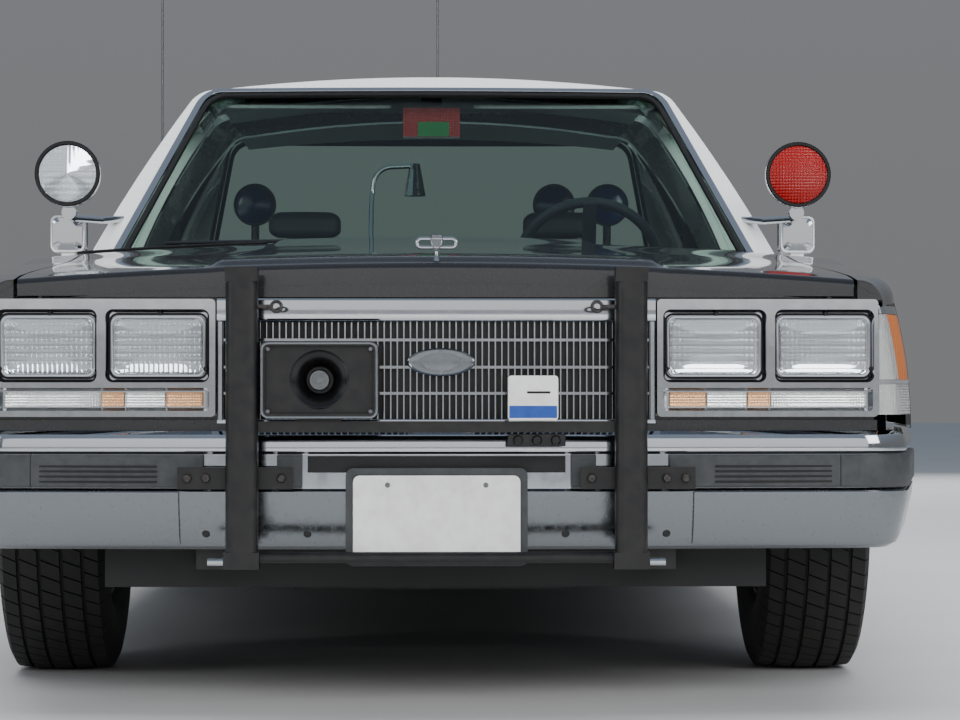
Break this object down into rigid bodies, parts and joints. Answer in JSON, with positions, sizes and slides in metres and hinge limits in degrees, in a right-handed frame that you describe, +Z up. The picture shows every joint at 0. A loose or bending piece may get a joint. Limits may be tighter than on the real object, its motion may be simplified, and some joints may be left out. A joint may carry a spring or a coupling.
{
  "type": "police patrol car",
  "caption": "Full-size black and white patrol sedan with push bar, siren speaker and spotlights; doors, hood and trunk lid open, front wheels steer and all wheels roll.",
  "frame": {"origin": "on the ground under the middle of the whole car, push bar included", "axes": "+X to the car's left, +Y to its tail, +Z up"},
  "size_m": [1.9552, 5.4383, 2.5599],
  "materials": {
    "body_black": "gloss black enamel",
    "body_white": "gloss white enamel",
    "frame_black": "satin black paint",
    "underbody_black": "matt undercoat",
    "chrome": "bright plated",
    "lamp_glass": "pressed clear lens",
    "amber_lens": "moulded lens",
    "red_lens": "moulded lens",
    "pad_rubber": "ribbed rubber",
    "plate_white": "enamelled sheet",
    "bar_black": "worn semi-gloss black",
    "siren_black": "satin black with worn bright rim",
    "glass": "clear safety glass",
    "cabin_plastic": "grained vinyl and plastic",
    "seat_cloth": "woven cloth",
    "seat_vinyl": "grained vinyl",
    "lamp_black": "gloss housing",
    "cast_iron": "as cast",
    "aluminium": "brazed core",
    "steel": "plain steel",
    "tyre": "road rubber",
    "wheel_steel": "painted steel disc"
  },
  "bodies": {
    "root": {"chassis_frame": "frame_black", "floor_pan": "underbody_black", "engine_aprons": "underbody_black", "trunk_floor": "underbody_black", "air_dam": "pad_rubber", "cowl_panel": "body_black", "body_pillars": "body_black", "roof": "body_white", "fenders": "body_black", "quarter_panels": "body_black", "nose_panel": "body_black", "grille": "chrome", "lamp_bezels": "chrome", "headlamps": "lamp_glass", "marker_lenses": "amber_lens", "bumpers": "chrome", "bumper_pads": "pad_rubber", "number_plates": "plate_white", "push_bar": "bar_black", "siren_speaker": "siren_black", "tag_box": "plate_white", "spotlights": "chrome", "fixed_glass": "glass", "tail_lamps": "red_lens", "tail_panel": "body_black", "dashboard": "cabin_plastic", "front_seat": "seat_cloth", "rear_seat": "seat_vinyl", "parcel_shelf": "cabin_plastic", "interior_lamps": "lamp_black", "engine_block": "cast_iron", "radiator": "aluminium", "exhaust": "steel", "fuel_tank": "steel", "driveline": "steel", "rear_axle": "cast_iron", "front_suspension": "cast_iron", "antennas": "steel"},
    "hood": {"hood": "body_black"},
    "trunk_lid": {"trunk_lid": "body_black"},
    "steering_wheel": {"steering_wheel": "cabin_plastic"},
    "front_door_left": {"front_door_left": "body_white", "front_door_glass_left": "glass"},
    "front_door_right": {"front_door_right": "body_white", "front_door_glass_right": "glass"},
    "rear_door_left": {"rear_door_left": "body_black", "rear_door_glass_left": "glass"},
    "rear_door_right": {"rear_door_right": "body_black", "rear_door_glass_right": "glass"},
    "knuckle_left": {"knuckle_left": "cast_iron"},
    "knuckle_right": {"knuckle_right": "cast_iron"},
    "wheel_front_left": {"tyre_front_left": "tyre", "rim_front_left": "wheel_steel"},
    "wheel_front_right": {"tyre_front_right": "tyre", "rim_front_right": "wheel_steel"},
    "wheel_rear_left": {"tyre_rear_left": "tyre", "rim_rear_left": "wheel_steel"},
    "wheel_rear_right": {"tyre_rear_right": "tyre", "rim_rear_right": "wheel_steel"}
  },
  "joints": [
    {"name": "steering_turn", "type": "hinge", "parent": "root", "child": "steering_wheel", "pos_m": [0.39, -0.5545, 0.906], "axis": [0, 0.8988, 0.4384], "range_deg": [-480, 480]},
    {"name": "steer_left", "type": "hinge", "parent": "root", "child": "knuckle_left", "pos_m": [0.735, -1.5895, 0.348], "axis": [0, 0, 1], "range_deg": [-32, 32]},
    {"name": "steer_right", "type": "hinge", "parent": "root", "child": "knuckle_right", "pos_m": [-0.735, -1.5895, 0.348], "axis": [0, 0, 1], "range_deg": [-32, 32]},
    {"name": "spin_front_left", "type": "hinge", "parent": "knuckle_left", "child": "wheel_front_left", "pos_m": [0.79, -1.5895, 0.348], "axis": [1, 0, 0], "continuous": true},
    {"name": "spin_front_right", "type": "hinge", "parent": "knuckle_right", "child": "wheel_front_right", "pos_m": [-0.79, -1.5895, 0.348], "axis": [1, 0, 0], "continuous": true},
    {"name": "spin_rear_left", "type": "hinge", "parent": "root", "child": "wheel_rear_left", "pos_m": [0.79, 1.3135, 0.348], "axis": [1, 0, 0], "continuous": true},
    {"name": "spin_rear_right", "type": "hinge", "parent": "root", "child": "wheel_rear_right", "pos_m": [-0.79, 1.3135, 0.348], "axis": [1, 0, 0], "continuous": true},
    {"name": "front_door_left_hinge", "type": "hinge", "parent": "root", "child": "front_door_left", "pos_m": [0.972, -1.0435, 0.6], "axis": [0, 0, -1], "range_deg": [0, 68]},
    {"name": "rear_door_left_hinge", "type": "hinge", "parent": "root", "child": "rear_door_left", "pos_m": [0.972, 0.0695, 0.6], "axis": [0, 0, -1], "range_deg": [0, 68]},
    {"name": "front_door_right_hinge", "type": "hinge", "parent": "root", "child": "front_door_right", "pos_m": [-0.972, -1.0435, 0.6], "axis": [0, 0, 1], "range_deg": [0, 68]},
    {"name": "rear_door_right_hinge", "type": "hinge", "parent": "root", "child": "rear_door_right", "pos_m": [-0.972, 0.0695, 0.6], "axis": [0, 0, 1], "range_deg": [0, 68]},
    {"name": "hood_hinge", "type": "hinge", "parent": "root", "child": "hood", "pos_m": [0, -1.1215, 0.944], "axis": [-1, 0, 0], "range_deg": [0, 55]},
    {"name": "trunk_lid_hinge", "type": "hinge", "parent": "root", "child": "trunk_lid", "pos_m": [0, 1.3175, 0.972], "axis": [1, 0, 0], "range_deg": [0, 75]}
  ],
  "couplings": [
    {"joint": "steer_right", "follows": "steer_left", "ratio": 1},
    {"joint": "steering_turn", "follows": "steer_left", "ratio": 15}
  ]
}
